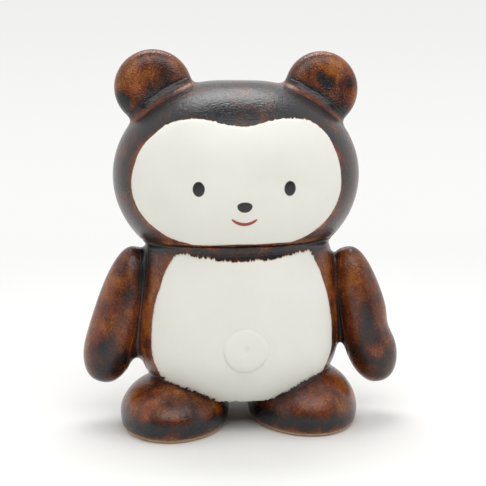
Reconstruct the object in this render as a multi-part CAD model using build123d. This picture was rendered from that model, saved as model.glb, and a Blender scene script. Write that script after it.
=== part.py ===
from build123d import *

import os
from functools import partial
from math import atan2, cos, degrees, hypot, radians, sin, sqrt

# A glazed stoneware tanuki ornament: hollow cast pieces, luted together with slip and then glazed.
# It stands on z = 0 and faces -Y, with +Z up. Left and right are the figure's own, so its left
# side is +X. Lengths are in millimetres and angles in degrees.

# Cast walls, seams and coats
wall = 4.0  # clay wall of the hollow pieces
neck_bead = 1.3  # how far each luting bead stands off the two pieces that it joins
ear_bead = 1.1
arm_bead = 1.2
hip_bead = 0.9
tail_bead = 1.0
white_coat = 0.5  # thickness of the white panels
mark_coat = 0.25  # thickness of the painted face marks

# Torso, a barrel that is widest at the belly
torso_width = 66.0
torso_depth = 53.0
torso_base_level = 9.5  # lowest point of the torso
torso_base_flat = 34.0  # width of the level stretch under the torso
belly_level = 28.0  # widest level of the torso
neck_over_arms = 2.1  # where the head's underside meets the torso, above the higher shoulder
neck_taper = 7.2  # how much narrower the torso is at the neck than at the belly
spigot_height = 3.5  # the torso's collar inside the head, above the neck level

# Head
head_width = 78.8
head_depth = 62.0
head_rise = 30.0  # widest level up to the crown
head_drop = 32.0  # widest level down to where the underside would close
crown_flat = 10.0  # width of the level stretch on the crown
head_offset = -0.4  # the head sits a little to one side

# Ears, rounded discs that are dished in front
left_ear_width = 23.4
right_ear_width = 24.6
ear_height = 24.0
ear_thickness = 12.0
ear_flat = 10.0  # width of the flat middle of each face
left_ear_angle = 45.0  # from the vertical, seen from the front
right_ear_angle = 43.3
ear_lift = 4.6  # middle of the ear above the head's surface
ear_lean = 8.0  # the top of the ear leans back
ear_dish_width = 15.0
ear_dish_depth = 1.1

# Arms, long eggs that hang at the sides
arm_width = 17.0
arm_depth = 19.0
arm_rise = 31.2  # widest part up to the shoulder
shoulder_flat = 4.8  # width of the blunt end at the shoulder
hand_flat = 2.0  # width of the blunt end at the tip
left_arm_level = 24.8  # widest part of the arm
right_arm_level = 26.0
left_arm_drop = 13.7  # widest part down to the tip
right_arm_drop = 12.9
left_arm_tilt = 16.0  # the tip swings out
right_arm_tilt = 16.9
left_arm_stand = 2.3  # widest part off the torso's side, or into it where this is below zero
right_arm_stand = -0.3
arm_forward = 1.0
hand_gap = 0.8  # least clear space between a hand and the leg beside it

# Legs, low buns that end in flat soles
leg_width = 34.8
leg_depth = 46.0
leg_level = 5.2  # widest level of the leg
left_leg_rise = 14.3
right_leg_rise = 12.0
leg_drop = 16.0  # widest level down to where the leg would close below the floor
leg_spacing = 41.6  # between the middles of the legs
left_leg_forward = 2.6
right_leg_forward = 5.2
toe_out = 10.0
sole_thickness = 1.2
sole_inset = 0.5  # the bare sole stands back from the glazed leg
vent_width = 4.0  # firing vent through each sole
airway_width = 6.0  # airway from each leg into the torso

# Tail, a stub on the back
tail_width = 14.0
tail_height = 13.0
tail_length = 22.0
tail_level = 21.0
tail_raise = 25.0  # the tip points up from the level
tail_bury = 3.0  # how far the middle of the tail lies inside the torso's back

# White face panel
face_width = 63.6
face_height = 39.0
face_below = 0.5  # middle of the panel below the head's widest level
face_base_flat = 22.0  # width of the level stretch along the chin
brow_spacing = 36.0  # between the outer ends of the two level stretches of the upper edge
brow_dip = 1.9  # how far the upper edge drops between them
brow_dip_width = 25.0
face_offset = -1.3  # the panel is a little to one side of the head's middle

# White belly panel
belly_panel_width = 57.4
belly_panel_rise = 43.0  # widest level up to where the sides would close
belly_panel_top = 1.6  # upper edge below the neck level
belly_panel_base = 1.0  # lower edge above the torso's lowest point
belly_panel_flat = 16.0  # width of the level stretch along the lower edge
belly_offset = 0.3  # the panel and the navel are a little to one side of the torso's middle

# Navel, a plain low boss with a dimple
navel_level = 29.0
navel_width = 14.0
navel_rise = 1.0
navel_flat = 8.6  # width of the boss's flat middle
dimple_width = 4.0
dimple_depth = 0.5

# Face marks: two oval eyes, a rounded nose and a small mouth
eye_width = 3.6
eye_height = 4.6
eye_spacing = 27.0
eye_below = 1.0  # middle of the eyes below the head's widest level
nose_width = 4.6
nose_rise = 1.2
nose_drop = 2.0
nose_below = 6.0  # widest level of the nose below the head's widest level
mouth_width = 7.0
mouth_sag = 1.6
mouth_stroke = 1.0
mouth_below = 10.0  # corners of the mouth below the head's widest level

# Values worked out from the sizes above


def shoulder_level(level, tilt):
    """Highest point of an arm."""
    lean = radians(tilt)
    blunt = shoulder_flat / 2
    return level + blunt * sin(lean) + hypot(arm_rise * cos(lean), (arm_width / 2 - blunt) * sin(lean))


left_shoulder_level = shoulder_level(left_arm_level, left_arm_tilt)
right_shoulder_level = shoulder_level(right_arm_level, right_arm_tilt)
neck_level = max(left_shoulder_level, right_shoulder_level) + neck_over_arms
neck_width = torso_width - neck_taper
torso_drop = belly_level - torso_base_level
torso_rise = (neck_level - belly_level) / sqrt(1 - (neck_width / torso_width) ** 2)
spigot_level = neck_level + spigot_height
head_level = neck_level + head_drop * sqrt(1 - (neck_width / head_width) ** 2)
face_level = head_level - face_below
far = 2 * (head_level + head_rise + ear_height)  # longer than the whole figure


def torso_half_width(level):
    if level > belly_level:
        return torso_width / 2 * sqrt(1 - ((level - belly_level) / torso_rise) ** 2)
    flat = torso_base_flat / 2
    return flat + (torso_width / 2 - flat) * sqrt(1 - ((belly_level - level) / torso_drop) ** 2)


def torso_half_depth(level):
    return torso_half_width(level) * torso_depth / torso_width


# Plain forms


def egg_outline(half_width, rise, drop, crown=0.0, base=0.0):
    """Right half of an egg, two elliptical quarters that meet at its widest level.

    crown and base are half the widths of the level stretches at its two ends.
    """
    lines = [
        EllipticalCenterArc((crown, 0), half_width - crown, rise, 0, arc_size=90),
        EllipticalCenterArc((base, 0), half_width - base, drop, 270, arc_size=90),
        Line((0, rise), (0, -drop)),
    ]
    if crown > 0:
        lines.append(Line((0, rise), (crown, rise)))
    if base > 0:
        lines.append(Line((0, -drop), (base, -drop)))
    return make_face(Curve(children=lines).edges())


def whole_outline(half):
    return half + mirror(half, Plane.YZ)


def egg(half_width, half_depth, rise, drop, crown=0.0, base=0.0):
    """An egg about +Z, widest at z = 0, whose level sections are ellipses."""
    turned = revolve(Plane.XZ * egg_outline(half_width, rise, drop, crown, base), Axis.Z)
    return scale(turned, by=(1, half_depth / half_width, 1))


def dish_ball(width, depth):
    """The ball that presses a dish of this width and depth into the plane z = 0."""
    radius = (width**2 / 4 + depth**2) / (2 * depth)
    return Pos(0, 0, radius - depth) * Sphere(radius)


def slab(low, high):
    """Everything between two heights."""
    return Pos(0, 0, (low + high) / 2) * Box(far, far, high - low)


def upright_rod(place, width, low, high):
    x, y = place
    return Pos(x, y, (low + high) / 2) * Cylinder(width / 2, high - low)


def front_prism(outline):
    """An outline drawn in the XZ plane, carried forward from the figure's middle."""
    return extrude(Plane.XZ * outline, far / 2)


def other_side(piece, middle=0.0):
    """The piece on the other side of an upright plane at x = middle."""
    return mirror(piece, Plane.YZ.offset(middle))


# Full forms of the clay pieces before they are hollowed or fitted, grown all round by a distance.
# Ears, arms and legs are all drawn on the left, and the right ones are then mirrored.


def torso_form(grow=0.0):
    body = egg(
        torso_width / 2 + grow,
        torso_depth / 2 + grow,
        torso_rise + grow,
        torso_drop + grow,
        base=torso_base_flat / 2,
    )
    return Pos(0, 0, belly_level) * body


def head_form(grow=0.0):
    body = egg(
        head_width / 2 + grow,
        head_depth / 2 + grow,
        head_rise + grow,
        head_drop + grow,
        crown=crown_flat / 2,
    )
    return Pos(head_offset, 0, head_level) * body


def ear_place(angle):
    """The middle of an ear, with the ear's front along its own +Z."""
    slope = radians(angle)
    surface = 1 / sqrt((sin(slope) / (head_width / 2)) ** 2 + (cos(slope) / head_rise) ** 2)
    reach = surface + ear_lift
    middle = Pos(head_offset + reach * sin(slope), 0, head_level + reach * cos(slope))
    return middle * Rot(90 - ear_lean, 0, 0)


def ear_form(width, angle, grow=0.0):
    disc = egg(
        width / 2 + grow,
        ear_height / 2 + grow,
        ear_thickness / 2 + grow,
        ear_thickness / 2 + grow,
        crown=ear_flat / 2,
        base=ear_flat / 2,
    )
    return ear_place(angle) * disc


def arm_form(level, drop, tilt, stand, grow=0.0):
    body = egg(
        arm_width / 2 + grow,
        arm_depth / 2 + grow,
        arm_rise + grow,
        drop + grow,
        crown=shoulder_flat / 2,
        base=hand_flat / 2,
    )
    reach = torso_half_width(level) + arm_width / 2 + stand
    return Pos(reach, -arm_forward, level) * Rot(0, -tilt, 0) * body


def leg_form(rise, forward, grow=0.0):
    body = egg(leg_width / 2 + grow, leg_depth / 2 + grow, rise + grow, leg_drop + grow)
    return Pos(leg_spacing / 2, -forward, leg_level) * Rot(0, 0, toe_out) * body


def tail_form(grow=0.0):
    half_length = tail_length / 2 + grow
    body = egg(tail_width / 2 + grow, tail_height / 2 + grow, half_length, half_length)
    back = torso_half_depth(tail_level) - tail_bury
    return Pos(0, back, tail_level) * Rot(tail_raise - 90, 0, 0) * body


left_ear_form = partial(ear_form, left_ear_width, left_ear_angle)
right_ear_form = partial(ear_form, right_ear_width, right_ear_angle)
left_arm_form = partial(arm_form, left_arm_level, left_arm_drop, left_arm_tilt, left_arm_stand)
right_arm_form = partial(arm_form, right_arm_level, right_arm_drop, right_arm_tilt, right_arm_stand)
left_leg_form = partial(leg_form, left_leg_rise, left_leg_forward)
right_leg_form = partial(leg_form, right_leg_rise, right_leg_forward)


# Clay pieces


def torso_plug():
    """The torso's outside, closed at the top of the collar that carries the head."""
    return torso_form() & slab(0, spigot_level)


def hip_airway(forward):
    return upright_rod((leg_spacing / 2, -forward), airway_width, sole_thickness, belly_level)


def make_torso():
    shell = torso_plug() - torso_form(-wall)
    return shell - hip_airway(left_leg_forward) - other_side(hip_airway(right_leg_forward))


def make_head():
    return head_form() - head_form(-wall) - torso_plug()


def make_ear(ear, angle):
    hollow = Pos(0, 0, ear_thickness / 2) * dish_ball(ear_dish_width, ear_dish_depth)
    return ear() - ear_place(angle) * hollow - head_form()


def make_arm(arm):
    return arm() - torso_form()


def make_leg(leg, forward, arm):
    hollow = leg(-wall) - torso_form(wall)
    shell = leg() - torso_form() - hollow - hip_airway(forward) - arm(hand_gap)
    return shell & slab(sole_thickness, far)


def make_sole(leg, forward):
    disc = leg(-sole_inset) & slab(0, sole_thickness)
    return disc - upright_rod((leg_spacing / 2, -forward), vent_width, 0, sole_thickness)


def make_tail():
    return tail_form() - torso_form()


# Luting beads, the slip that fills the crease between two pieces


def bead(first, second, size):
    """What lies near both of two forms and inside neither."""
    return (first(size) - first()) & (second(size) - second())


def hip_lute(leg, arm):
    return bead(leg, torso_form, hip_bead) - arm(hand_gap)


# White panels and painted marks


def coat(form, under, over, outline):
    """A layer on a form's front between two distances from its surface, with the given outline."""
    return (form(over) & front_prism(outline)) - form(under)


def face_outline():
    half_width = face_width / 2
    half_height = face_height / 2
    brow = brow_spacing / 2
    dip = brow_dip_width / 2
    chin = face_base_flat / 2
    lines = [
        EllipticalCenterArc((brow, 0), half_width - brow, half_height, 0, arc_size=90),
        EllipticalCenterArc((-brow, 0), half_width - brow, half_height, 90, arc_size=90),
        EllipticalCenterArc((-chin, 0), half_width - chin, half_height, 180, arc_size=90),
        EllipticalCenterArc((chin, 0), half_width - chin, half_height, 270, arc_size=90),
        Line((-chin, -half_height), (chin, -half_height)),
        Line((-brow, half_height), (-dip, half_height)),
        Spline(
            (-dip, half_height),
            (0, half_height - brow_dip),
            (dip, half_height),
            tangents=((1, 0), (1, 0)),
        ),
        Line((dip, half_height), (brow, half_height)),
    ]
    middle = Pos(head_offset + face_offset, face_level)
    return middle * make_face(Curve(children=lines).edges())


def make_face_panel():
    return coat(head_form, 0, white_coat, face_outline()) - torso_form(neck_bead)


def belly_outline():
    half = egg_outline(
        belly_panel_width / 2,
        belly_panel_rise,
        torso_drop - belly_panel_base,
        base=belly_panel_flat / 2,
    )
    below_neck = Pos(0, neck_level - belly_panel_top - far / 2) * Rectangle(far, far)
    return Pos(belly_offset, belly_level) * whole_outline(half) & below_neck


def make_belly_panel():
    panel = coat(torso_form, 0, white_coat, belly_outline()) - head_form(neck_bead)
    panel = panel - left_leg_form(hip_bead) - other_side(right_leg_form(hip_bead))
    return panel - left_arm_form(arm_bead) - other_side(right_arm_form(arm_bead))


def make_navel():
    dome = egg(
        navel_width / 2,
        navel_width / 2,
        navel_rise,
        navel_rise,
        crown=navel_flat / 2,
        base=navel_flat / 2,
    )
    boss = dome - Pos(0, 0, navel_rise) * dish_ball(dimple_width, dimple_depth)
    above = torso_half_depth(navel_level + navel_width / 2)
    below = torso_half_depth(navel_level - navel_width / 2)
    tilt = degrees(atan2(above - below, navel_width))
    front = Pos(belly_offset, -torso_half_depth(navel_level) - white_coat, navel_level)
    return front * Rot(90 + tilt, 0, 0) * boss - torso_form(white_coat)


def mark(outline):
    return coat(head_form, white_coat, white_coat + mark_coat, outline)


def make_eye():
    place = Pos(head_offset + eye_spacing / 2, head_level - eye_below)
    return mark(place * Ellipse(eye_width / 2, eye_height / 2))


def make_nose():
    half = egg_outline(nose_width / 2, nose_rise, nose_drop)
    return mark(Pos(head_offset, head_level - nose_below) * whole_outline(half))


def make_mouth():
    line = ThreePointArc((-mouth_width / 2, 0), (0, -mouth_sag), (mouth_width / 2, 0))
    stroke = make_face(offset(line, mouth_stroke / 2, side=Side.BOTH).edges())
    return mark(Pos(head_offset, head_level - mouth_below) * stroke)


def make_pieces():
    pieces = {
        "torso_shell": make_torso(),
        "head_shell": make_head(),
        "neck_lute": bead(head_form, torso_form, neck_bead),
        "tail": make_tail(),
        "tail_lute": bead(tail_form, torso_form, tail_bead),
        "face_panel": make_face_panel(),
        "belly_panel": make_belly_panel(),
        "navel_boss": make_navel(),
        "nose_mark": make_nose(),
        "mouth_mark": make_mouth(),
    }
    left_pieces = {
        "ear": make_ear(left_ear_form, left_ear_angle),
        "ear_lute": bead(left_ear_form, head_form, ear_bead),
        "eye_mark": make_eye(),
        "arm": make_arm(left_arm_form),
        "arm_lute": bead(left_arm_form, torso_form, arm_bead),
        "leg": make_leg(left_leg_form, left_leg_forward, left_arm_form),
        "hip_lute": hip_lute(left_leg_form, left_arm_form),
        "sole": make_sole(left_leg_form, left_leg_forward),
    }
    right_pieces = left_pieces | {
        "ear": make_ear(right_ear_form, right_ear_angle),
        "ear_lute": bead(right_ear_form, head_form, ear_bead),
        "arm": make_arm(right_arm_form),
        "arm_lute": bead(right_arm_form, torso_form, arm_bead),
        "leg": make_leg(right_leg_form, right_leg_forward, right_arm_form),
        "hip_lute": hip_lute(right_leg_form, right_arm_form),
        "sole": make_sole(right_leg_form, right_leg_forward),
    }
    on_head = ("ear", "ear_lute", "eye_mark")
    for name, piece in left_pieces.items():
        pieces[f"left_{name}"] = piece
    for name, piece in right_pieces.items():
        pieces[f"right_{name}"] = other_side(piece, head_offset if name in on_head else 0)
    return pieces


def centred(pieces):
    """The pieces moved so that the figure's box is centred on the origin, seen from above."""
    boxes = [piece.bounding_box() for piece in pieces.values()]
    x = (min(box.min.X for box in boxes) + max(box.max.X for box in boxes)) / 2
    y = (min(box.min.Y for box in boxes) + max(box.max.Y for box in boxes)) / 2
    return {name: Pos(-x, -y, 0) * piece for name, piece in pieces.items()}


os.makedirs("parts", exist_ok=True)
for node, solid in centred(make_pieces()).items():
    export_step(solid, f"parts/{node}.step")
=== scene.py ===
import math
from functools import partial

import bpy
import numpy as np
from mathutils import Euler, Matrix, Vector, noise


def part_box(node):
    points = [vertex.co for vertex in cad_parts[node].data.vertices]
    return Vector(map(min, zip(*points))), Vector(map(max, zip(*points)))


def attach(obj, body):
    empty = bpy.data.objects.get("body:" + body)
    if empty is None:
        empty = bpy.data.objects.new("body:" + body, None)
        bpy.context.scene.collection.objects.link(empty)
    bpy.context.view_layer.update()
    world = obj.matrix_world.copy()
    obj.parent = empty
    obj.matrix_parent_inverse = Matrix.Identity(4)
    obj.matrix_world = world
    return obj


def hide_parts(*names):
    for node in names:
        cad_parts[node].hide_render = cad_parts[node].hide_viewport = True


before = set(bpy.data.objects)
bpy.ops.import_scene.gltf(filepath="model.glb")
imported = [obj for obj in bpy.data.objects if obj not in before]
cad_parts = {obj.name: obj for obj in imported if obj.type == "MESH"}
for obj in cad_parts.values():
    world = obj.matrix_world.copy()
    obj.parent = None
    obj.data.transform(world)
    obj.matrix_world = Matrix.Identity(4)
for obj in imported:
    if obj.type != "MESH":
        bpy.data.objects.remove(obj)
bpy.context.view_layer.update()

# A glazed stoneware tanuki ornament, dressed over its CAD frame. Lengths are in metres, angles in
# degrees, the figure faces -Y, and its own left side is +X.

mm = 0.001
grain = 1.0  # share of the full mesh density
sides = {"left": 1, "right": -1}

# Driving sizes of the clay forms that the frame's boxes don't give
belly_level = 28 * mm
torso_rise = 67.6 * mm
torso_base_flat = 17 * mm
spigot_level = 62.2 * mm
head_rise = 30 * mm
head_drop = 32 * mm
crown_flat = 5 * mm
ear_size = {"left": (11.7 * mm, 45.0), "right": (12.3 * mm, 43.3)}  # half width, angle from upright
ear_half_height = 12 * mm
ear_half_thickness = 6 * mm
ear_flat = 5 * mm
ear_lift = 4.6 * mm
ear_lean = 8.0
ear_dish_radius = 26.1 * mm
ear_dish_depth = 1.1 * mm
arm_half_width = 8.5 * mm
arm_half_depth = 9.5 * mm
arm_rise = 32.4 * mm
arm_flats = (0.8 * mm, 1.6 * mm)  # blunt ends at the shoulder and the tip
shoulder_power = 2.6
arm_place = {"left": (24.8 * mm, 2.3 * mm), "right": (26 * mm, -0.3 * mm)}  # level, stand off the torso
arm_hang = {"left": (13.7 * mm, 16.0), "right": (12.9 * mm, 16.9)}  # drop to the tip, tilt
arm_forward = 1 * mm
waist_depth, waist_level, waist_length = 1.1 * mm, 4 * mm, 5 * mm  # on the left arm's outer side
leg_half_width = 17.4 * mm
leg_half_depth = 23 * mm
leg_level = 5.2 * mm
leg_rise = {"left": 14.3 * mm, "right": 12 * mm}
leg_drop = 16 * mm
leg_apart = 20.8 * mm
leg_forward = {"left": 2.6 * mm, "right": 5.2 * mm}
toe_out = 10.0
sole_thickness = 1.2 * mm
sole_inset = 0.5 * mm
vent_radius = 2 * mm
tail_half_width = 7 * mm
tail_half_height = 6.5 * mm
tail_half_length = 11 * mm
tail_level = 21 * mm
tail_raise = 25.0
tail_bury = 3 * mm
tail_heart_out = 5.4 * mm  # from the tail's middle to a point inside it and clear of the torso

# Rounding of the clay's edges: at a cut, at a leg's hem and at the rim of an ear's dish
cut_rounding, hem_rounding, dish_rounding = 0.5 * mm, 0.9 * mm, 4.5 * mm
ray_reach = 2.2  # times a form's size, which is past its far side
clay_relief = 0.1 * mm  # mean depth of the waves in the clay's skin
clay_waves = ((0.7, 14 * mm), (0.3, 5 * mm))  # share and length
clay_quads = {"torso": 80, "head": 96, "ear": 44, "arm": 56, "leg": 56, "tail": 32}  # along a cube's edge

# Slip along the seams: its reach on the two pieces, and its further reach at an arm's top and bottom
neck_slip = (1.2 * mm, 1.4 * mm)
ear_slip = (2 * mm, 2 * mm)
arm_slip = (1.2 * mm, 1.2 * mm)
hip_slip = (0.9 * mm, 0.9 * mm)
tail_slip = (1.4 * mm, 1.4 * mm)
arm_slip_ends = {"left": (4.6 * mm, 6.5 * mm), "right": (1.2 * mm, 6.5 * mm)}
ear_slip_fullness = 0.08
slip_waves = ((0.18, 6 * mm), (0.08, 2 * mm))  # share of the reach, and length
slip_spacing = 0.45 * mm

# White panels and painted marks
white_coat = 0.5 * mm
mark_level = 0.45 * mm  # where the boss and the marks start in the white coat
panel_bed, mark_bed = 0.2 * mm, 0.15 * mm  # how far a layer reaches into what carries it
panel_film, mark_film = 0.04 * mm, 0.02 * mm  # least thickness at a layer's edge
panel_quads = {"face_panel": 200, "belly_panel": 220}
boss_quads, mark_quads, mouth_quads, sole_quads = 56, 24, 60, 160

# Spots on the front of ears and arms: place across and up and size in mm, and added depth of glaze
ear_pools = {
    "left": [(-0.4, 3.6, 2.1, 0.4), (1.5, 1.6, 2.4, 0.42), (8.2, 1.4, 1.8, 0.3)],
    "right": [(2.0, -4.0, 6.0, 0.2), (-10.5, -5.0, 3.4, 0.38)],
}
arm_pools = {
    "left": [(0.0, 12.3, 2.8, 0.14), (-0.4, 5.7, 4.2, 0.28), (0.6, -1.4, 2.4, -0.28)],
    "right": [],
}


# Forms


class Egg:
    """An egg about its own +Z, widest at its middle, with level stretches at its two ends.

    A power above 2 makes its upper half fuller.
    """

    def __init__(self, middle, sizes, flats=(0.0, 0.0), turn=(0.0, 0.0, 0.0), power=2.0):
        self.middle = np.array(middle, float)
        self.half_width, self.half_depth, self.rise, self.drop = sizes
        self.crown, self.base = flats
        self.angles = turn
        self.power = power
        self.turn = np.array(Euler([math.radians(a) for a in turn]).to_matrix())

    def grown(self, by):
        sizes = (self.half_width + by, self.half_depth + by, self.rise + by, self.drop + by)
        return Egg(self.middle, sizes, (self.crown, self.base), self.angles, self.power)

    def local(self, points):
        """Points in the egg's own frame, as rows of x, y and z."""
        return ((points - self.middle) @ self.turn).T

    def half(self, z):
        """The level stretch and the height of the half that a height z lies in."""
        return np.where(z > 0, self.crown, self.base), np.where(z > 0, self.rise, self.drop)

    def gauge(self, points):
        """A value, negative inside and positive outside, and its slope in the figure's frame."""
        x, y, z = self.local(points)
        flat, height = self.half(z)
        side = self.half_width - flat
        squeeze = self.half_width / self.half_depth
        radius = np.sqrt(x**2 + (squeeze * y) ** 2) + 1e-9
        out = np.maximum(radius - flat, 0) / side
        level = np.abs(z) / height
        power = np.where(z > 0, self.power, 2.0)
        pull = power * out ** (power - 1) / (radius * side)
        lift = power * level ** (power - 1) * np.sign(z) / height
        slope = np.stack([pull * x, pull * squeeze**2 * y, lift], 1)
        return out**power + level**power - 1, slope @ self.turn.T

    def distance(self, points):
        """About how far points lie outside the egg."""
        value, slope = self.gauge(points)
        return value / (np.linalg.norm(slope, axis=1) + 1e-6)

    def normal(self, points):
        return unit(self.gauge(points)[1])

    def half_width_at(self, level):
        """Half the width at a level, of an upright egg with a power of 2."""
        z = level - self.middle[2]
        flat, height = self.half(z)
        return flat + (self.half_width - flat) * np.sqrt(np.clip(1 - (z / height) ** 2, 0, 1))

    def front(self, places):
        """Points on the front of an upright egg, at these places across and up."""
        x, z = places.T
        room = np.maximum(self.half_width_at(z) ** 2 - (x - self.middle[0]) ** 2, 0)
        y = self.middle[1] - np.sqrt(room) * self.half_depth / self.half_width
        return np.stack([x, y, z], 1)


def unit(vectors):
    return vectors / (np.linalg.norm(vectors, axis=-1, keepdims=True) + 1e-12)


def ear_form(side, sign, head):
    """A flat egg on the head's outline that leans back a little."""
    half_width, angle = ear_size[side]
    across, up = math.sin(math.radians(angle)), math.cos(math.radians(angle))
    reach = 1 / math.hypot(across / head.half_width, up / head_rise) + ear_lift
    place = head.middle + np.array([sign * reach * across, 0, reach * up])
    sizes = (half_width, ear_half_height, ear_half_thickness, ear_half_thickness)
    return Egg(place, sizes, (ear_flat, ear_flat), (90 - ear_lean, 0, 0))


def arm_form(side, sign, torso):
    """A long egg that hangs at the torso's side, with a full shoulder."""
    level, stand = arm_place[side]
    drop, tilt = arm_hang[side]
    reach = float(torso.half_width_at(level)) + arm_half_width + stand
    place = (torso.middle[0] + sign * reach, torso.middle[1] - arm_forward, level)
    sizes = (arm_half_width, arm_half_depth, arm_rise, drop)
    return Egg(place, sizes, arm_flats, (0, -sign * tilt, 0), shoulder_power)


def leg_form(side, sign, torso):
    """A low egg with its toe turned out."""
    place = (torso.middle[0] + sign * leg_apart, torso.middle[1] - leg_forward[side], leg_level)
    sizes = (leg_half_width, leg_half_depth, leg_rise[side], leg_drop)
    return Egg(place, sizes, turn=(0, 0, sign * toe_out))


def tail_form(torso):
    """A stub that points back and up, with its root in the torso."""
    back = float(torso.half_width_at(tail_level)) * torso.half_depth / torso.half_width
    place = (torso.middle[0], torso.middle[1] + back - tail_bury, tail_level)
    sizes = (tail_half_width, tail_half_height, tail_half_length, tail_half_length)
    return Egg(place, sizes, turn=(tail_raise - 90, 0, 0))


def tail_heart(tail):
    return tail.middle + tail.turn[:, 2] * tail_heart_out


def upright_form(node, level, rise, drop, flats):
    """An upright egg as wide and deep as a node's box."""
    low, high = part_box(node)
    centre, half = (low + high) / 2, (high - low) / 2
    return Egg((centre.x, centre.y, level), (half.x, half.y, rise, drop), flats)


def make_forms():
    base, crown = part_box("torso_shell")[0].z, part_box("head_shell")[1].z
    torso = upright_form("torso_shell", belly_level, torso_rise, belly_level - base, (0, torso_base_flat))
    head = upright_form("head_shell", crown - head_rise, head_rise, head_drop, (crown_flat, 0))
    forms = {"torso": torso, "head": head, "tail": tail_form(torso)}
    for side, sign in sides.items():
        forms[f"{side}_ear"] = ear_form(side, sign, head)
        forms[f"{side}_arm"] = arm_form(side, sign, torso)
        forms[f"{side}_leg"] = leg_form(side, sign, torso)
    return forms


# Fields: values between 0 and 1 at points, and waves


def hump(offset, size, power=2):
    """1 where an offset is 0, falling off over this size; a higher power makes a flatter top."""
    return np.exp(-((offset / size) ** power))


def climb(value, start, length):
    """0 up to a start, then straight up to 1 over this length."""
    return np.clip((value - start) / length, 0, 1)


def near(points, forms, length):
    """1 on the nearest of some forms, falling off over this length."""
    return np.max([np.exp(-np.maximum(form.distance(points), 0) / length) for form in forms], axis=0)


def beside(points, forms, gap, width):
    """1 in a strip that runs beside some forms at this gap."""
    return np.max([hump(form.distance(points) - gap, width) for form in forms], axis=0)


def near_edge(points, outline, length):
    """1 along an outline on the figure's front, falling off over this length."""
    line, centre = outline
    spoke = line - centre
    angle = np.arctan2(spoke[:, 1], spoke[:, 0])
    order = np.argsort(angle)
    offset = points[:, [0, 2]] - centre
    here = np.arctan2(offset[:, 1], offset[:, 0])
    edge = np.interp(here, angle[order], np.linalg.norm(spoke, axis=1)[order], period=2 * math.pi)
    away = np.abs(np.linalg.norm(offset, axis=1) - edge)
    return np.where(points[:, 1] < 0, np.exp(-away / length), 0)


def ripple(points, length, seed):
    """Smooth noise between about -1 and 1, with bumps of about this length."""
    offset = Vector([seed * step for step in (7.31, 3.77, 5.13)])
    return np.array([noise.noise(Vector(p) + offset) for p in (points / length).tolist()])


def waves(points, kinds, seed):
    """The sum of some ripples, each with its share and its length."""
    return sum(share * ripple(points, length, seed + k) for k, (share, length) in enumerate(kinds))


def seed_of(node, spread):
    """A number from a node's name, so that pieces ripple in ways of their own."""
    return sum(map(ord, node)) % spread


# Meshes


def grid_quads(corners):
    """The corners of each cell in a grid of corner numbers."""
    cells = [corners[:-1, :-1], corners[1:, :-1], corners[1:, 1:], corners[:-1, 1:]]
    return np.stack(cells, -1).reshape(-1, 4)


def ball_grid(count):
    """Directions and quads of a cube blown up to a ball, count quads along each edge."""
    steps = np.tan(np.linspace(-1, 1, count + 1) * math.pi / 4)
    a, b = np.meshgrid(steps, steps, indexing="ij")
    corners = np.arange((count + 1) ** 2).reshape(count + 1, count + 1)
    quads = grid_quads(corners)
    points, faces = [], []
    for axis in range(3):
        for sign in (1, -1):
            face = np.roll(np.stack([np.full(a.shape, sign), a, b], -1), axis, -1)
            faces.append((quads if sign > 0 else quads[:, ::-1]) + len(points) * corners.size)
            points.append(face.reshape(-1, 3))
    points = np.concatenate(points)
    millionths = np.round(points * 1e6)
    _, first, where = np.unique(millionths, axis=0, return_index=True, return_inverse=True)
    return unit(points[first]), where.reshape(-1)[np.concatenate(faces)]


def smooth_max(a, b, size):
    """The larger of two distances, rounded where they are nearly equal."""
    blend = np.maximum(size - np.abs(a - b), 0) / size
    return np.maximum(a, b) + blend**2 * size / 4


def halve(is_out, low, high, rounds):
    """Close each span in on the place where is_out turns true."""
    for _ in range(rounds):
        middle = (low + high) / 2
        out = is_out(middle)
        low, high = np.where(out, low, middle), np.where(out, middle, high)
    return low, high


def first_crossing(field, origin, rays, far, steps=80):
    """How far each ray goes from the origin before the field turns positive."""
    hit = np.full(len(rays), far)
    waiting = np.arange(len(rays))
    for reach in np.linspace(0, far, steps + 1)[1:]:
        out = field(origin + rays[waiting] * reach) > 0
        hit[waiting[out]] = reach
        waiting = waiting[~out]
    low, high = halve(lambda t: field(origin + rays * t[:, None]) > 0, hit - far / steps, hit, rounds=22)
    return (low + high) / 2


def slope_of(field, points, step=0.05 * mm):
    shifts = np.eye(3) * step
    return unit(np.stack([field(points + s) - field(points - s) for s in shifts], 1))


def even_steps(line, count=0, spacing=None):
    """A closed line in even steps, so many or so long."""
    closed = np.vstack([line, line[:1]])
    along = np.concatenate([[0], np.cumsum(np.linalg.norm(np.diff(closed, axis=0), axis=1))])
    if spacing:
        count = int(along[-1] / spacing * grain)
    places = np.linspace(0, along[-1], count, endpoint=False)
    return np.stack([np.interp(places, along, column) for column in closed.T], 1)


def add_object(name, data):
    made = bpy.data.objects.new(name, data)
    bpy.context.scene.collection.objects.link(made)
    return made


def add_mesh(name, points, faces, material):
    mesh = bpy.data.meshes.new(name)
    mesh.from_pydata(points, [], faces)
    mesh.validate()
    mesh.shade_smooth()
    mesh.materials.append(material)
    return add_object(name, mesh)


def add_piece(node, material, points, faces, values=None):
    """A closed mesh of quads that rides on the figure and stands for one CAD node."""
    a, b, c, d = np.moveaxis(points[faces], 1, 0)
    volume = np.sum(a * (np.cross(b, c) + np.cross(c, d)))
    outward = faces if volume > 0 else faces[:, ::-1]
    piece = add_mesh(f"{node}_fired", points.tolist(), outward.tolist(), material)
    for key, data in (values or {}).items():
        layer = piece.data.attributes.new(key, "FLOAT", "POINT")
        layer.data.foreach_set("value", np.asarray(data, np.float32))
    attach(piece, "root")
    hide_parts(node)


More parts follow.
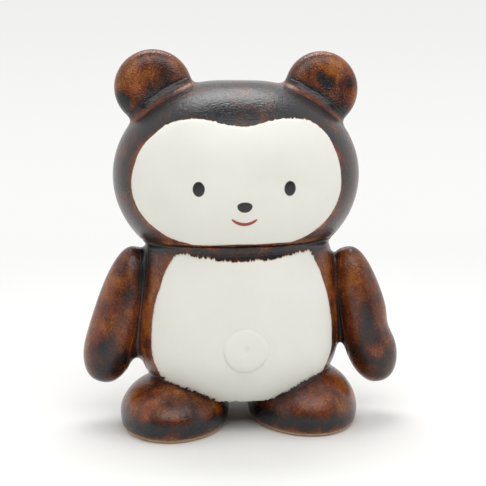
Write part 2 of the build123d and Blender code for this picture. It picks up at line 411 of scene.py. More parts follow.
def cast_clay(node, form, material, count, depth, cuts, origin=None, dent=None):
    """A clay piece: the form, less what is cut from it, with a slightly uneven skin.

    Each cut comes with the size of the rounding along its edge. depth gives the glaze's depth at
    points, from 0 where it is thin to 1 where it lies thick, and dent how far the skin is pressed in.
    The piece is seen whole from its origin, which is the form's middle if none is given.
    """
    start = form.middle if origin is None else origin
    rays, faces = ball_grid(int(count * grain))
    stretch = np.array([form.half_width, form.half_depth, (form.rise + form.drop) / 2])
    rays = unit((rays * stretch) @ form.turn.T)

    def field(points):
        value = form.distance(points)
        for cut, rounding in cuts:
            value = smooth_max(value, cut(points), rounding)
        return value

    far = ray_reach * stretch.max()
    points = start + rays * first_crossing(field, start, rays, far)[:, None]
    outward = slope_of(field, points)
    uneven = waves(points, clay_waves, seed_of(node, spread=97))
    glaze = depth(points)
    sunk = clay_relief * (1 + uneven) + (dent(points) if dent else 0)
    points = points - outward * sunk[:, None]
    add_piece(node, material, points, faces, {"glaze": glaze})


def crease_line(form, other, origin, axis):
    """The closed line where a form's surface leaves another form, in even steps."""
    count, least, askew = 720, 0.01, [0.3, 0.5, 0.8]
    around = np.linspace(0, 2 * math.pi, count, endpoint=False)
    axis = unit(np.array(axis, float))
    first = unit(np.cross(axis, askew))
    second = np.cross(axis, first)
    spoke = np.cos(around)[:, None] * first + np.sin(around)[:, None] * second
    far = np.full(count, ray_reach * max(form.half_width, form.half_depth, form.rise + form.drop))

    def surface(opening):
        rays = np.cos(opening)[:, None] * axis + np.sin(opening)[:, None] * spoke
        low, _ = halve(lambda t: form.distance(origin + rays * t[:, None]) > 0, 0 * far, far, rounds=36)
        return origin + rays * low[:, None]

    low, high = np.full(count, least), np.full(count, math.pi - least)
    low, _ = halve(lambda opening: other.distance(surface(opening)) > 0, low, high, rounds=30)
    return even_steps(surface(low), spacing=slip_spacing)


def ring_mesh(sections):
    """The points and quads of a closed ring through equal closed sections."""
    count, size = sections.shape[:2]
    index = np.arange(count * size).reshape(count, size)
    ahead = np.roll(index, -1, 0)
    faces = np.stack([index, ahead, np.roll(ahead, -1, 1), np.roll(index, -1, 1)], -1)
    return sections.reshape(-1, 3), faces.reshape(-1, 4)


def lay_on(surface, points, sunk):
    """Points moved on to a form's surface, and a little below it."""
    for _ in range(4):
        points = points - surface.normal(points) * (surface.distance(points) + sunk)[:, None]
    return points


def lute(node, form, other, origin, axis, material, depths, widths, ends=(0.0, 0.0), fullness=0.0):
    """A fillet of slip along the crease between two pieces, tangent to both where fullness is 0.

    widths are its reach on the form and on the other form, and ends the further reach at its top
    and at its bottom. depths give the glaze's depth on the two forms.
    """
    feather, tuck, tuck_sunk, core = 0.01 * mm, 0.5 * mm, 0.2 * mm, 1.1 * mm
    row_count, end_power = 10, 8
    line = crease_line(form, other, origin, axis)
    on_form, on_other = form.normal(line), other.normal(line)
    lean = np.sum(on_form * on_other, 1, keepdims=True)
    up_form = unit(on_other - lean * on_form)
    up_other = unit(on_form - lean * on_other)
    swell = 1 + waves(line, slip_waves, seed_of(node, spread=89))
    upper = (line[:, 2] - line[:, 2].min()) / np.ptp(line[:, 2])
    further = ends[0] * upper**end_power + ends[1] * (1 - upper) ** end_power
    reach_form = ((widths[0] + further) * swell)[:, None]
    reach_other = ((widths[1] + further) * swell)[:, None]
    start = lay_on(form, line + up_form * reach_form, feather)
    end = lay_on(other, line + up_other * reach_other, feather)
    bend = line + (up_form * reach_form + up_other * reach_other) * fullness
    steps = np.linspace(0, 1, row_count)
    fillet = [(1 - s) ** 2 * start + 2 * s * (1 - s) * bend + s**2 * end for s in steps]
    under_form = lay_on(form, line + up_form * (reach_form + tuck), tuck_sunk)
    under_other = lay_on(other, line + up_other * (reach_other + tuck), tuck_sunk)
    inside = line - unit(on_form + on_other) * core
    points, faces = ring_mesh(np.stack([under_form, *fillet, under_other, inside], 1))
    share = np.tile([0, *steps, 1, 0.5], len(line))
    glaze = (1 - share) * depths[0](points) + share * depths[1](points)
    add_piece(node, material, points, faces, {"glaze": glaze})


# Coats: white panels and painted marks on the front of the head and torso


def disc_grid(count):
    """A square grid bent into a disc: how far out each corner lies, and its share of the turn."""
    steps = np.linspace(-1, 1, count + 1)
    a, b = np.meshgrid(steps, steps, indexing="ij")
    out = np.maximum(np.abs(a), np.abs(b))
    a, b = np.array([a, b]) / np.maximum(out, 1e-9)
    turn = np.where(np.abs(a) >= np.abs(b), np.where(a >= 0, b, 4 - b), np.where(b >= 0, 2 - a, 6 + a))
    return out, (turn / 8) % 1


def at_turn(values, turn):
    """Values that go round an outline in even steps, read at shares of the turn."""
    part, step = np.modf(turn[..., None] * len(values))
    before = step[..., 0].astype(int) % len(values)
    return values[before] * (1 - part) + values[(before + 1) % len(values)] * part


def skin(node, material, form, place, height, bed, values):
    """A closed layer on a form's front: a grid of places across and up, each with its height."""
    index = np.arange(height.size).reshape(height.shape)
    base = form.front(place.reshape(-1, 2))
    normal = form.normal(base)
    points = np.concatenate([base + normal * height.ravel()[:, None], base - normal * bed])
    sheet = grid_quads(index)
    edge = np.concatenate([index[0, :-1], index[:-1, -1], index[-1, :0:-1], index[:0:-1, 0]])
    ahead = np.roll(edge, -1)
    wall = np.stack([edge, edge + index.size, ahead + index.size, ahead], -1)
    faces = np.concatenate([sheet, sheet[:, ::-1] + index.size, wall])
    values = {key: np.tile(value.ravel(), 2) for key, value in values.items()}
    add_piece(node, material, points, faces, values)


def kept_off(form, outline, count, neighbours):
    """An outline drawn in towards its middle until it keeps its gap to each neighbour."""
    line, centre = outline
    line = even_steps(line, count)

    def is_out(share):
        spot = centre + (line - centre) * share[:, None]
        point = form.front(spot)
        clear = [other.distance(point) > gap(spot[:, 0] - centre[0]) for other, gap in neighbours]
        return ~np.all(clear, axis=0)

    low, high = halve(is_out, np.zeros(count), np.ones(count), rounds=24)
    share = np.where(high > 1 - 1e-5, 1, low)
    return even_steps(centre + (line - centre) * share[:, None], count)


def panel(node, material, form, outline, ragged, neighbours):
    """A white panel inside an outline, kept off its neighbours, with a brushed edge.

    ragged gives the length of the brush marks along the outline.
    """
    bristle, stroke, wander, cloud = 0.3 * mm, 1.5 * mm, 6 * mm, 9 * mm  # lengths of the edge's waves
    wander_reach, brush_fade = 0.3 * mm, 1.2 * mm
    slope_length, rim_length, crowding = 0.4 * mm, 0.32 * mm, 1.35
    count = int(panel_quads[node] * grain)
    seed = seed_of(node, spread=83)
    line, centre = kept_off(form, outline, 4 * count, neighbours), outline[1]
    ahead = np.roll(line, -2, 0) - np.roll(line, 2, 0)
    outward = unit(np.stack([ahead[:, 1], -ahead[:, 0]], 1))
    flat = np.insert(line, 1, 0, axis=1)
    teeth = np.maximum(ripple(flat, bristle, seed), -0.1) * 2.0 + 0.5 * ripple(flat, stroke, seed + 1)
    brush = ragged(line) * teeth + wander_reach * ripple(flat, wander, seed + 2)
    out, turn = disc_grid(count)
    rim = at_turn(line, turn)
    spread = 1 - (1 - out) ** crowding
    place = centre + (rim - centre) * spread[..., None]
    inside = np.linalg.norm(rim - place, axis=-1)
    reach = at_turn(outward * brush[:, None], turn)
    place = place + reach * np.exp(-inside / brush_fade)[..., None]
    points = np.insert(place.reshape(-1, 2), 1, 0, axis=1)
    swell = 0.93 + 0.07 * ripple(points, cloud, seed + 3).reshape(out.shape)
    height = white_coat * (1 - np.exp(-inside / slope_length)) * swell + panel_film
    values = {"rim": np.exp(-inside / rim_length)}
    skin(node, material, form, place, height, panel_bed, values)


def arc(centre, across, up, start, count=40):
    """A quarter of an ellipse, anticlockwise from an angle in degrees."""
    angle = np.radians(np.linspace(start, start + 90, count))
    return np.stack([centre[0] + across * np.cos(angle), centre[1] + up * np.sin(angle)], 1)


def ellipse(centre, half_width, up, down=None):
    """A closed oval, as far down from its centre as up unless down is given."""
    low = up if down is None else down
    quarters = [(up, 0), (up, 90), (low, 180), (low, 270)]
    return np.concatenate([arc(centre, half_width, height, start) for height, start in quarters])


def front_box(node):
    """A node's middle, half width and half height, seen from the front."""
    low, high = (np.array([corner.x, corner.z]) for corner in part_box(node))
    return (low + high) / 2, *((high - low) / 2)


def bowl(x, level, flat, half_width, drop):
    """The lower half of an outline: two quarters of an ellipse, a level stretch apart."""
    quarters = [(x - flat, 180), (x + flat, 270)]
    return [arc((place, level), half_width - flat, drop, start) for place, start in quarters]


def face_line():
    """The face panel's outline, seen from the front, and its middle."""
    middle, half_width, half_height = front_box("face_panel")
    x, z = middle
    left_brow, right_brow, chin, chin_lift = 18 * mm, 13 * mm, 11 * mm, 1.2 * mm
    dip_half, dip, dip_shift = 12.5 * mm, 1.9 * mm, 1 * mm
    across = np.linspace(left_brow, -right_brow, 73)[1:-1]
    off_dip = across - dip_shift
    sag = np.where(np.abs(off_dip) < dip_half, np.cos(off_dip / dip_half * math.pi / 2) ** 2, 0)
    brow_line = np.stack([x + across, z + half_height - dip * sag], 1)
    line = [
        arc((x + left_brow, z), half_width - left_brow, half_height, 0),
        brow_line,
        arc((x - right_brow, z), half_width - right_brow, half_height, 90),
        *bowl(x, z, chin, half_width, half_height - chin_lift),
    ]
    return np.concatenate(line), middle


def belly_line():
    """The belly panel's outline, seen from the front, and its middle."""
    low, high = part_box("belly_panel")
    (x, _), half_width, _ = front_box("belly_panel")
    rise, flat, corner_lift = 43 * mm, 8 * mm, 1 * mm
    left = arc((x, belly_level), half_width, rise, 0)
    left = left[left[:, 1] < high.z + corner_lift]
    right = left[::-1] * [-1, 1] + [2 * x, 0]
    across = np.linspace(left[-1, 0], right[0, 0], 60)[1:-1]
    top = np.stack([across, np.full(len(across), high.z + corner_lift)], 1)
    line = [left, top, right, *bowl(x, belly_level, flat, half_width, belly_level - low.z)]
    return np.concatenate(line), np.array([x, belly_level])


def dab(node, material, form, oval, count, shape, rim=1.0):
    """A small oval mark or boss, its height given by how far out it is."""
    out, turn = disc_grid(count)
    edge = at_turn(even_steps(ellipse(*oval), 4 * count), turn)
    place = oval[0] + (edge - oval[0]) * out[..., None]
    skin(node, material, form, place, shape(out), mark_bed, {"rim": out * rim})


def bead_height(thickness):
    """The height of a drop of enamel by how far out it is."""
    return lambda out: thickness * np.sqrt(np.clip(1 - out**3, 0, 1)) + mark_film


# Materials


class Nodes:
    """A tree of shader nodes."""

    def __init__(self, tree):
        self.tree = tree

    def node(self, kind, options=None, **inputs):
        """A new node; an input is named by its label, with _ for a space, or by _ and its number."""
        made = self.tree.nodes.new(kind)
        for key, value in (options or {}).items():
            setattr(made, key, value)
        for key, value in inputs.items():
            socket = made.inputs[int(key[1:])] if key[0] == "_" else made.inputs[key.replace("_", " ")]
            self.feed(socket, value)
        return made

    def feed(self, socket, value):
        source = value.outputs[0] if isinstance(value, bpy.types.Node) else value
        if isinstance(source, bpy.types.NodeSocket):
            self.tree.links.new(source, socket)
        else:
            socket.default_value = value

    def size_of(self, value):
        return self.node("ShaderNodeMath", {"operation": "ABSOLUTE"}, _0=value)

    def total(self, *terms, offset=0.0):
        """The sum of some values, each times its own factor."""
        options = {"operation": "MULTIPLY_ADD"}
        result = offset
        for value, factor in terms:
            result = self.node("ShaderNodeMath", options, _0=value, _1=factor, _2=result)
        return result

    def span(self, value, low, high, to_low=0.0, to_high=1.0):
        """A value taken smoothly from one span to another, with no overshoot."""
        options = {"interpolation_type": "SMOOTHSTEP"}
        ends = {"From_Min": low, "From_Max": high, "To_Min": to_low, "To_Max": to_high}
        return self.node("ShaderNodeMapRange", options, Value=value, **ends)


class Shade(Nodes):
    def __init__(self, name):
        self.material = bpy.data.materials.new(name)
        self.material.use_nodes = True
        super().__init__(self.material.node_tree)
        self.tree.nodes.clear()
        self.output = self.tree.nodes.new("ShaderNodeOutputMaterial")
        self.coordinates = self.node("ShaderNodeTexCoord").outputs["Object"]

    def noise(self, size, detail=3.0, seed=0.0, roughness=0.55, distortion=0.0, fall=1.0):
        """Cloudy noise with patches of about this size, drawn out downwards if fall is below 1."""
        place = self.coordinates
        if fall != 1:
            place = self.node("ShaderNodeMapping", Vector=place, Scale=(1, 1, fall)).outputs[0]
        options = {"noise_dimensions": "4D"}
        look = {"Scale": 1 / size, "Detail": detail, "Roughness": roughness, "Distortion": distortion}
        made = self.node("ShaderNodeTexNoise", options, Vector=place, W=seed, **look)
        return made.outputs["Fac"]

    def attribute(self, name):
        return self.node("ShaderNodeAttribute", {"attribute_name": name}).outputs["Fac"]

    def blend(self, share, a, b):
        return self.node("ShaderNodeMix", {"data_type": "RGBA"}, _0=share, _6=a, _7=b).outputs[2]

    def ramp(self, value, places, colours):
        made = self.node("ShaderNodeValToRGB", Fac=value)
        marks = made.color_ramp.elements
        while len(marks) < len(places):
            marks.new(0.5)
        for mark, place, colour in zip(marks, places, colours):
            mark.position = place
            mark.color = (*colour, 1)
        return made.outputs["Color"]

    def bump(self, height, strength, distance):
        made = self.node("ShaderNodeBump", Height=height, Strength=strength, Distance=distance)
        return made.outputs["Normal"]

    def surface(self, shader):
        self.feed(self.output.inputs["Surface"], shader)
        return self.material

    def finish(self, **inputs):
        return self.surface(self.node("ShaderNodeBsdfPrincipled", **inputs))


# Iron glaze from thin to thick, where it breaks orange and where it breaks red
umber = (0.034, 0.015, 0.010)
ink = (0.014, 0.0145, 0.0165)
orange_glaze = [(0.30, 0.095, 0.010), (0.17, 0.046, 0.008), (0.085, 0.023, 0.008), umber, ink]
red_glaze = [(0.21, 0.05, 0.013), (0.11, 0.022, 0.008), (0.055, 0.013, 0.007), umber, ink]
glaze_breaks = [0.12, 0.3, 0.47, 0.6, 0.72]

# The other colours, dark before light
whites = [(0.75, 0.745, 0.68), (0.79, 0.785, 0.73)]
pinhole_brown = (0.25, 0.2, 0.15, 1)
rim_tan = (0.42, 0.2, 0.08, 1)
clay_buffs = [(0.42, 0.27, 0.15), (0.66, 0.48, 0.31)]
blacks = [(0.012, 0.011, 0.012), (0.05, 0.045, 0.042)]
reds = [(0.30, 0.035, 0.03), (0.42, 0.09, 0.06)]
floor_white = (0.85, 0.85, 0.835, 1)
backdrop_white = (1, 1, 0.99, 1)


def brown_glaze(name):
    """Iron glaze that breaks from amber where it is thin to blue-black where it pools."""
    shade = Shade(name)
    drift = shade.noise(13 * mm, detail=2, seed=1.0)
    patch = shade.noise(5 * mm, detail=3, seed=3.0, roughness=0.5, distortion=0.3, fall=0.6)
    speck = shade.noise(0.55 * mm, detail=2, seed=5.0, roughness=0.7)
    laid = shade.attribute("glaze")
    depth = shade.total((drift, 0.9), (patch, 1.1), (speck, 1.0), (laid, 1.0), offset=-1.5)
    orange = shade.ramp(depth, glaze_breaks, orange_glaze)
    red = shade.ramp(depth, glaze_breaks, red_glaze)
    redness = shade.span(shade.noise(6 * mm, detail=3, seed=8.0), 0.4, 0.65)
    peel = shade.noise(1.2 * mm, detail=1, seed=7.0)
    pits = shade.noise(0.5 * mm, detail=1, seed=9.0)
    relief = shade.total((peel, 0.25), (pits, 0.8))
    return shade.finish(
        Base_Color=shade.blend(redness, orange, red),
        Roughness=shade.span(depth, 0.2, 0.7, to_low=0.24, to_high=0.17),
        Normal=shade.bump(relief, strength=0.75, distance=0.25 * mm),
        IOR=1.46,
    )


def white_glaze(name, seed):
    """Warm white satin glaze with a few pinholes and a thin tan line where it ends."""
    shade = Shade(name)
    cloud = shade.noise(14 * mm, detail=3, seed=seed)
    fine = shade.noise(1.6 * mm, detail=3, seed=seed + 2)
    holes = shade.noise(1.1 * mm, detail=1, seed=seed + 4)
    colour = shade.ramp(cloud, [0.3, 0.7], whites)
    colour = shade.blend(shade.span(holes, 0.8, 0.84, to_high=0.5), colour, pinhole_brown)
    colour = shade.blend(shade.span(shade.attribute("rim"), 0.3, 0.75), colour, rim_tan)
    return shade.finish(
        Base_Color=colour,
        Roughness=shade.span(cloud, 0.3, 0.7, to_low=0.36, to_high=0.46),
        Normal=shade.bump(fine, strength=0.12, distance=0.2 * mm),
        IOR=1.5,
    )


def bare_clay():
    """Buff stoneware with no glaze on it."""
    shade = Shade("bare_clay_fired")
    fine = shade.noise(0.6 * mm, detail=4, seed=2.0, roughness=0.7)
    return shade.finish(
        Base_Color=shade.ramp(fine, [0.3, 0.7], clay_buffs),
        Roughness=0.85,
        Normal=shade.bump(fine, strength=0.5, distance=0.2 * mm),
    )


def enamel(name, colours, seed):
    """Brushed colour under the glaze, a little thinner towards its edge."""
    shade = Shade(name)
    cloud = shade.noise(1.5 * mm, detail=3, seed=seed)
    edge = shade.span(shade.attribute("rim"), 0.7, 1.0)
    fine = shade.noise(0.5 * mm, detail=2, seed=seed + 1)
    return shade.finish(
        Base_Color=shade.ramp(shade.total((cloud, 0.5), (edge, 0.5)), [0.25, 0.9], colours),
        Roughness=0.3,
        Normal=shade.bump(fine, strength=0.2, distance=0.1 * mm),
    )


# Depth of the iron glaze at points p of each form: 0 is thin and 1 is thick


def head_depth(p, head, torso, ears):
    """Thick, but thin by the ears, the face and the neck, on the cheeks and on the crown."""
    face = face_line()
    brow_pool_level = face[0][:, 1].max() + 4 * mm
    cheek_top = head.middle[2] + 12 * mm
    crown = [head.middle[0], -9 * mm, head.middle[2] + head.rise]
    aside = np.abs(p[:, 0] - head.middle[0]) / head.half_width
    by_ears = 0.46 * beside(p, ears, gap=1 * mm, width=1.3 * mm)
    by_neck = 0.4 * beside(p, [torso], gap=2.2 * mm, width=1.1 * mm)
    by_face = 0.5 * near_edge(p, face, length=1.5 * mm) * (p[:, 2] < cheek_top)
    by_brow = 0.15 * near_edge(p, face, length=0.8 * mm)
    on_cheeks = 0.14 * climb(aside, start=0.7, length=0.2)
    on_crown = 0.16 * hump(np.linalg.norm(p - crown, axis=1), size=13 * mm)
    thin = by_ears + on_crown + np.max([by_face, by_brow, by_neck, on_cheeks], axis=0)
    brow_pool = 0.1 * hump(p[:, 2] - brow_pool_level, size=4 * mm) * (p[:, 1] < 0)
    seam_pool = 0.2 * near(p, [torso], length=0.9 * mm)
    return 0.74 + brow_pool + seam_pool - thin


def torso_depth(p, head, limbs, legs):
    """Thin, with pools along the seams and across the collar in front."""
    neck_pool = 0.4 * near(p, [head], length=1.8 * mm)
    limb_pool = 0.46 * near(p, limbs, length=1.1 * mm)
    leg_pool = 0.45 * near(p, legs, length=1.2 * mm)
    chest = hump(p[:, 0], size=19 * mm, power=4) * (p[:, 1] < 0)
    collar_pool = 0.5 * chest * hump(head.distance(p), size=5 * mm, power=4)
    by_belly = 0.08 * near_edge(p, belly_line(), length=2 * mm)
    return 0.3 + np.maximum(neck_pool + limb_pool + leg_pool, collar_pool) - by_belly


def pooled(x, y, pools):
    """The depth that each of some pools adds at places across and up."""
    return [
        added * hump(np.hypot(x - across * mm, y - up * mm), size * mm, power=4)
        for across, up, size, added in pools
    ]


def ear_depth(p, ear, head, pools):
    """Thin, with a dark line above the seam and pools on the front."""
    x, y, z = ear.local(p)
    spots = np.max(pooled(x, y, pools), axis=0) * (z > 0)
    return 0.35 + spots + 0.42 * beside(p, [head], gap=1.9 * mm, width=0.8 * mm)


def arm_depth(p, arm, torso, pools):
    """Thin, with a streak, a dark hand and pools on the front."""
    x, y, z = arm.local(p)
    streak = hump(x, size=2.6 * mm) * (y < 0) * climb(22 * mm - z, start=0, length=12 * mm)
    hand = hump(np.hypot(x, z + 3 * mm), size=8 * mm, power=4)
    spots = 0.22 * np.maximum(streak, hand) + sum(pooled(x, z, pools)) * (y < 0)
    return 0.31 + spots + 0.46 * near(p, [torso], length=1.1 * mm)


def leg_depth(p, torso):
    """Thin, with a dark band above a hem where the glaze runs out."""
    band = 0.42 * hump(p[:, 2] - 4.5 * mm, size=2.6 * mm)
    hem = 0.35 * climb(2.2 * mm - p[:, 2], start=0, length=0.8 * mm)
    return 0.34 + band - hem + 0.3 * near(p, [torso], length=0.9 * mm)


def tail_depth(p, torso):
    """Thin, with a pool along the seam."""
    return 0.4 + 0.3 * near(p, [torso], length=1.2 * mm)


def glaze_depths(forms):
    head, torso, tail = forms["head"], forms["torso"], forms["tail"]
    ears, arms, legs = ([forms[f"{side}_{limb}"] for side in sides] for limb in ("ear", "arm", "leg"))
    depths = {
        "head": partial(head_depth, head=head, torso=torso, ears=ears),
        "torso": partial(torso_depth, head=head, limbs=[*arms, tail], legs=legs),
        "tail": partial(tail_depth, torso=torso),
    }
    for side, ear, arm in zip(sides, ears, arms):
        depths[f"{side}_ear"] = partial(ear_depth, ear=ear, head=head, pools=ear_pools[side])
        depths[f"{side}_arm"] = partial(arm_depth, arm=arm, torso=torso, pools=arm_pools[side])
        depths[f"{side}_leg"] = partial(leg_depth, torso=torso)
    return depths


# The figure


def ear_dish(ear):
    """The ball that is scooped from an ear's front, and the rounding of its rim."""
    centre = ear.middle + ear.turn[:, 2] * (ear_half_thickness - ear_dish_depth + ear_dish_radius)
    return lambda p: ear_dish_radius - np.linalg.norm(p - centre, axis=1), dish_rounding


def arm_waist(p, arm):
    """A shallow hollow on an arm's outer side, above the hand."""
    x, _, z = arm.local(p)
    return waist_depth * hump(z - waist_level, waist_length) * climb(x, 0, arm_half_width)


def build_clay(forms, depths, glaze, clay):
    """The cast pieces, each cut to what it is luted to, and the bare soles."""
    head, torso, tail = forms["head"], forms["torso"], forms["tail"]
    spigot = (lambda p: p[:, 2] - spigot_level, cut_rounding)
    socket = (lambda p: np.minimum(-torso.distance(p), spigot_level - p[:, 2]), cut_rounding)
    at_torso = (lambda p: -torso.distance(p), cut_rounding)
    at_head = (lambda p: -head.distance(p), cut_rounding)
    at_sole = (lambda p: sole_thickness - p[:, 2], hem_rounding)
    cast_clay("torso_shell", torso, glaze, clay_quads["torso"], depths["torso"], [spigot])
    cast_clay("head_shell", head, glaze, clay_quads["head"], depths["head"], [socket])
    for side in sides:
        for limb in ("ear", "arm", "leg"):
            node = f"{side}_{limb}"
            form = forms[node]
            cuts = {"ear": [ear_dish(form), at_head], "arm": [at_torso], "leg": [at_torso, at_sole]}
            dent = partial(arm_waist, arm=form) if node == "left_arm" else None
            cast_clay(node, form, glaze, clay_quads[limb], depths[node], cuts[limb], dent=dent)
        build_sole(f"{side}_sole", forms[f"{side}_leg"], clay)
    cast_clay("tail", tail, glaze, clay_quads["tail"], depths["tail"], [at_torso], tail_heart(tail))


def build_sole(node, leg, clay):
    """The bare clay disc under a leg, with its vent."""
    wobble, wobble_length, seed = 0.006, 6 * mm, 5
    angle = np.linspace(0, 2 * math.pi, int(sole_quads * grain), endpoint=False)
    rim = leg.grown(-sole_inset)
    flat = np.stack([np.cos(angle), np.sin(angle), np.zeros(len(angle))], 1)
    # Round the section: share of the way from the vent to the rim, and share of the thickness
    section = [(0.0, 0.12), (0.03, 0.0), (0.5, 0.0), (0.97, 0.0)]
    section += [(1.0, 0.3), (1.0, 1.0), (0.5, 1.0), (0.0, 1.0)]
    rows = []
    for share, lift in section:
        level = sole_thickness * lift
        across = rim.half_width_at(np.array(level))
        outer = flat * [across, across * rim.half_depth / rim.half_width, 1] @ rim.turn.T
        outer = outer * (1 - wobble * (1 + ripple(outer, wobble_length, seed)))[:, None]
        inner = flat * vent_radius
        row = inner * (1 - share) + outer * share + leg.middle * [1, 1, 0]
        row[:, 2] = level
        rows.append(row)
    points, faces = ring_mesh(np.stack(rows, 1))
    add_piece(node, clay, points, faces)


def build_lutes(forms, depths, glaze):
    head, tail = forms["head"], forms["tail"]

    def seam(node, name, other, axis, slip, origin=None, **more):
        start = forms[name].middle if origin is None else origin
        both = (depths[name], depths[other])
        lute(node, forms[name], forms[other], start, axis, glaze, both, slip, **more)

    seam("neck_lute", "head", "torso", (0, 0, -1), neck_slip)
    for side, sign in sides.items():
        ear, arm, leg = (f"{side}_{limb}" for limb in ("ear", "arm", "leg"))
        inward = head.middle - forms[ear].middle
        seam(f"{ear}_lute", ear, "head", inward, ear_slip, fullness=ear_slip_fullness)
        seam(f"{arm}_lute", arm, "torso", (-sign, 0, 0.35), arm_slip, ends=arm_slip_ends[side])
        seam(f"{side}_hip_lute", leg, "torso", (0, 0, 1), hip_slip)
    seam("tail_lute", "tail", "torso", -tail.turn[:, 2], tail_slip, tail_heart(tail))


def build_panels(head, torso, legs):
    neck_gap, leg_gap = 2.3 * mm, 0.9 * mm
    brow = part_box("face_panel")[1].z
    hem, collar = (corner.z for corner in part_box("belly_panel"))

    def face_brush(spots):
        """Rougher along the brow than down the cheeks."""
        return (0.12 + 0.3 * climb(spots[:, 1], brow - 4 * mm, 4 * mm)) * mm

    def belly_brush(spots):
        """Rougher along the neck and the legs than down the sides."""
        top = climb(spots[:, 1], collar - 4 * mm, 4 * mm)
        bottom = climb(hem + 11 * mm - spots[:, 1], 0, 5 * mm)
        return (0.12 + 0.6 * top + 1.1 * bottom) * mm

    def under_chin(across):
        """The bare band under the head is wider at the front than at the shoulders."""
        return neck_gap - 1.5 * mm * climb(np.abs(across), 0, 17 * mm) ** 2

    face_glaze = white_glaze("face_glaze", 1.0)
    panel("face_panel", face_glaze, head, face_line(), face_brush, [(torso, lambda across: neck_gap)])
    neighbours = [(head, under_chin)] + [(leg, lambda across: leg_gap) for leg in legs]
    belly_glaze = white_glaze("belly_glaze", 5.0)
    panel("belly_panel", belly_glaze, torso, belly_line(), belly_brush, neighbours)


def build_boss(belly):
    """The low round boss on the belly, with a dimple."""
    boss_height, dimple_depth = 0.95 * mm, 0.5 * mm
    shoulder_share, dimple_share = 0.42, 0.34

    def height(out):
        edge = climb(1 - out, 0, shoulder_share)
        dimple = np.clip(1 - out / dimple_share, 0, 1)
        return boss_height * np.sqrt(1 - (1 - edge) ** 2) - dimple_depth * dimple**2 * (3 - 2 * dimple)

    glaze, oval = white_glaze("navel_glaze", 8.0), front_box("navel_boss")
    dab("navel_boss", glaze, belly, oval, boss_quads, height, rim=0.0)


def build_marks(face):
    """Two oval eyes, a nose that reaches further down than up, and a mouth."""
    eye_height, nose_height, nose_rise = 0.28 * mm, 0.3 * mm, 0.375
    black = enamel("black_enamel_fired", blacks, 2.0)
    red = enamel("red_enamel_fired", reds, 4.0)
    for side in sides:
        node = f"{side}_eye_mark"
        dab(node, black, face, front_box(node), mark_quads, bead_height(eye_height))
    middle, half_width, half_height = front_box("nose_mark")
    rise = 2 * half_height * nose_rise
    oval = (middle + [0, half_height - rise], half_width, rise, 2 * half_height - rise)
    dab("nose_mark", black, face, oval, mark_quads, bead_height(nose_height))
    build_mouth(face, red)


def build_mouth(face, material):
    """A short curved brush stroke with rounded, tapering ends."""
    stroke, sag, thickness, end_inset = 0.5 * mm, 1.6 * mm, 0.22 * mm, 0.98
    (x, z), half_width, half_height = front_box("mouth_mark")
    run = np.linspace(-1, 1, mouth_quads + 1)[:, None]
    side = run.T
    width = stroke * np.sqrt(np.clip(1 - run**6, 0.02, 1))
    across = x + half_width * run * end_inset
    up = z + half_height - stroke - sag * (1 - run**2) + width * side
    place = np.stack([np.broadcast_to(across, up.shape), up], -1)
    height = thickness * np.sqrt(np.clip(1 - side**4, 0, 1)) * (1 - run**8) + mark_film
    rim = np.maximum(np.abs(run), np.abs(side))
    skin("mouth_mark", material, face, place, height, mark_bed, {"rim": rim})


def build_coats(forms):
    head, torso = forms["head"], forms["torso"]
    build_panels(head, torso, [forms[f"{side}_leg"] for side in sides])
    build_boss(torso.grown(mark_level))
    build_marks(head.grown(mark_level))


# Stage, camera and light


def sweep_material():
    """Pale paper that glows white far behind the figure and far to its sides, a little dimmer higher up
    as a painted falloff of light.
    """
    shade = Shade("sweep")
    parts = shade.node("ShaderNodeSeparateXYZ", _0=shade.coordinates).outputs
    path = shade.node("ShaderNodeLightPath").outputs
    mirrored = [(path["Is Glossy Ray"], 1.0), (path["Is Transmission Ray"], 1.0)]
    seen = shade.total(*mirrored, offset=path["Is Camera Ray"])
    behind = shade.span(parts["Y"], 0.05, 0.4)
    aside = shade.span(shade.size_of(parts["X"]), 0.3, 0.8)
    share = shade.total((seen, shade.total((aside, 1.0), offset=behind)))
    # The glow dims from the floor up the backdrop: a painted falloff of light on it.
    strength = shade.span(parts["Z"], 0.0, 0.18, to_low=0.96, to_high=0.87)
    glow = shade.node("ShaderNodeEmission", Color=backdrop_white, Strength=strength)
    floor = shade.node("ShaderNodeBsdfPrincipled", Base_Color=floor_white, Roughness=0.9)
    return shade.surface(shade.node("ShaderNodeMixShader", _0=share, _1=floor, _2=glow))


def build_stage():
    """A seamless sweep, level under the figure and curving up behind it."""
    back, radius, front, wide, top = 0.9, 0.5, -8.0, 2.4, 1.6
    far_edge = (front - 1.0, 0.5)  # rises, so that a view from behind ends in paper too
    profile = [far_edge, (front, 0.0), (back - radius, 0.0)]
    for angle in np.radians(np.linspace(-90, 0, 24)[1:]):
        profile.append((back - radius + radius * math.cos(angle), radius + radius * math.sin(angle)))
    profile.append((back, top))
    points = [(x, y, z) for y, z in profile for x in (-wide, wide)]
    faces = [(2 * k, 2 * k + 1, 2 * k + 3, 2 * k + 2) for k in range(len(profile) - 1)]
    sweep = add_mesh("sweep", points, faces, sweep_material())


def add_looking(name, data, place, aim):
    """A camera or lamp that looks from a place at an aim."""
    made = add_object(name, data)
    made.location = place
    made.rotation_mode = "QUATERNION"
    made.rotation_quaternion = (Vector(aim) - Vector(place)).to_track_quat("-Z", "Y")
    return made


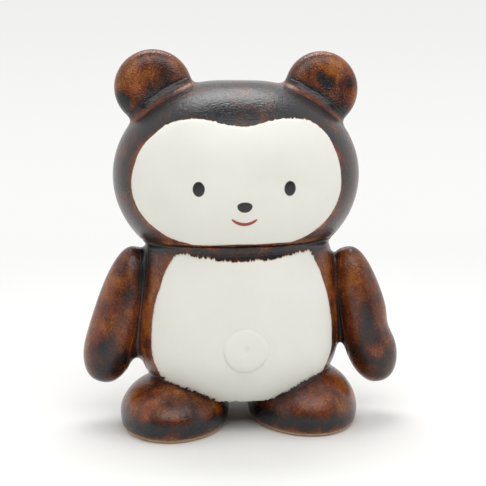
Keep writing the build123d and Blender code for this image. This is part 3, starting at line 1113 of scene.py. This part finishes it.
def build_camera():
    """The photograph's view, a little from the figure's right and from above."""
    azimuth, elevation, distance = math.radians(-5.0), math.radians(9.3), 371 * mm
    target, target_pixel = Vector((0, 0, 60 * mm)), (241.2, 236.0)
    image, lens, sensor = 486, 85.0, 36.0
    level = math.cos(elevation)
    back = Vector((math.sin(azimuth) * level, -math.cos(azimuth) * level, math.sin(elevation)))
    right = Vector((math.cos(azimuth), math.sin(azimuth), 0))
    up = back.cross(right)
    pixel = distance * sensor / lens / image
    aim = target + right * (image / 2 - target_pixel[0]) * pixel
    aim = aim - up * (image / 2 - target_pixel[1]) * pixel
    data = bpy.data.cameras.new("photo_camera")
    data.lens, data.sensor_width = lens, sensor
    data.clip_start, data.clip_end = 0.01, 20
    bpy.context.scene.camera = add_looking("photo_camera", data, target + back * distance, aim)


def add_softbox(name, place, aim, size, power):
    data = bpy.data.lights.new(name, "AREA")
    data.shape = "RECTANGLE"
    data.size, data.size_y = size
    data.energy = power
    add_looking(name, data, place, aim)


def build_light():
    """White surroundings that are dim in front and overhead, and two softboxes."""
    world = bpy.data.worlds.new("studio")
    world.use_nodes = True
    bpy.context.scene.world = world
    sky = Nodes(world.node_tree)
    direction = sky.node("ShaderNodeTexCoord").outputs["Generated"]
    parts = sky.node("ShaderNodeSeparateXYZ", _0=direction).outputs
    back_and_sides = sky.total((sky.size_of(parts["X"]), 0.75), offset=parts["Y"])
    background = world.node_tree.nodes["Background"]
    background.inputs["Color"].default_value = (1, 1, 1, 1)
    sky.feed(background.inputs["Strength"], sky.span(back_and_sides, -0.1, 0.3, to_low=0.06))
    add_softbox("front_softbox", (0.03, -0.47, 0.63), aim=(0, 0, 0.06), size=(0.9, 0.5), power=4.15)
    add_softbox("top_softbox", (0.0, 0.24, 0.7), aim=(0, 0, 0.1), size=(0.46, 0.28), power=2.5)
    bpy.context.scene.view_settings.view_transform = "Standard"


figure = make_forms()
clay = bare_clay()
coats = glaze_depths(figure)
build_clay(figure, coats, brown_glaze("brown_glaze_fired"), clay)
build_lutes(figure, coats, brown_glaze("seam_glaze_fired"))
build_coats(figure)
build_stage()
build_camera()
build_light()
